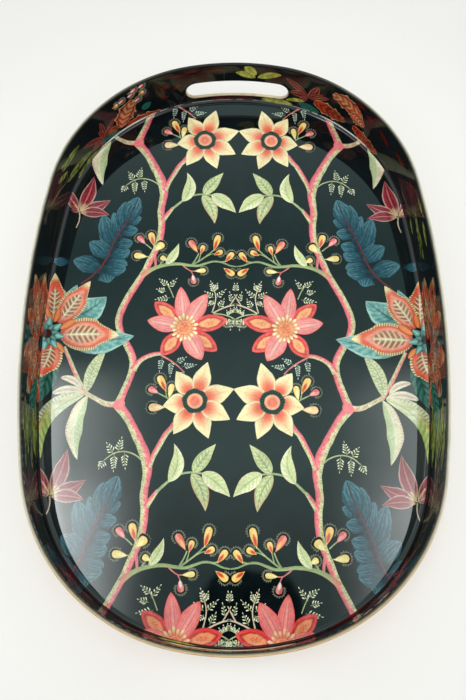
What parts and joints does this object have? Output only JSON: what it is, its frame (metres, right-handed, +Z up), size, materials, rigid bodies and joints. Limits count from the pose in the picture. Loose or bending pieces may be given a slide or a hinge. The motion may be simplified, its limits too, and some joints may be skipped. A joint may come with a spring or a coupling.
{
  "type": "oval serving tray",
  "caption": "Deep oval serving tray with upright walls, cut-out hand slots at both ends, printed floral paper inside and a thick clear gloss coat.",
  "frame": {"origin": "centre of the underside, midway along and across the tray", "axes": "+Y along the tray's length towards the back hand slot, +X across it to the right, +Z up out of the tray"},
  "size_m": [0.35, 0.52, 0.0547],
  "materials": {
    "board_underside": "fibreboard, stained dark and sealed",
    "wall_outside": "bent fibreboard painted in a worn copper gold, satin",
    "floor_print": "printed paper, floral pattern on near black",
    "wall_print": "printed paper, floral pattern on near black",
    "clear_gloss": "poured clear resin lacquer, high gloss",
    "pin_steel": "bright drawn steel"
  },
  "bodies": {
    "root": {"base_board": "board_underside", "wall_back_half": "wall_outside", "wall_front_half": "wall_outside", "floor_paper": "floor_print", "wall_paper_left": "wall_print", "wall_paper_right": "wall_print", "clear_coat": "clear_gloss", "base_pins": "pin_steel"}
  },
  "joints": []
}
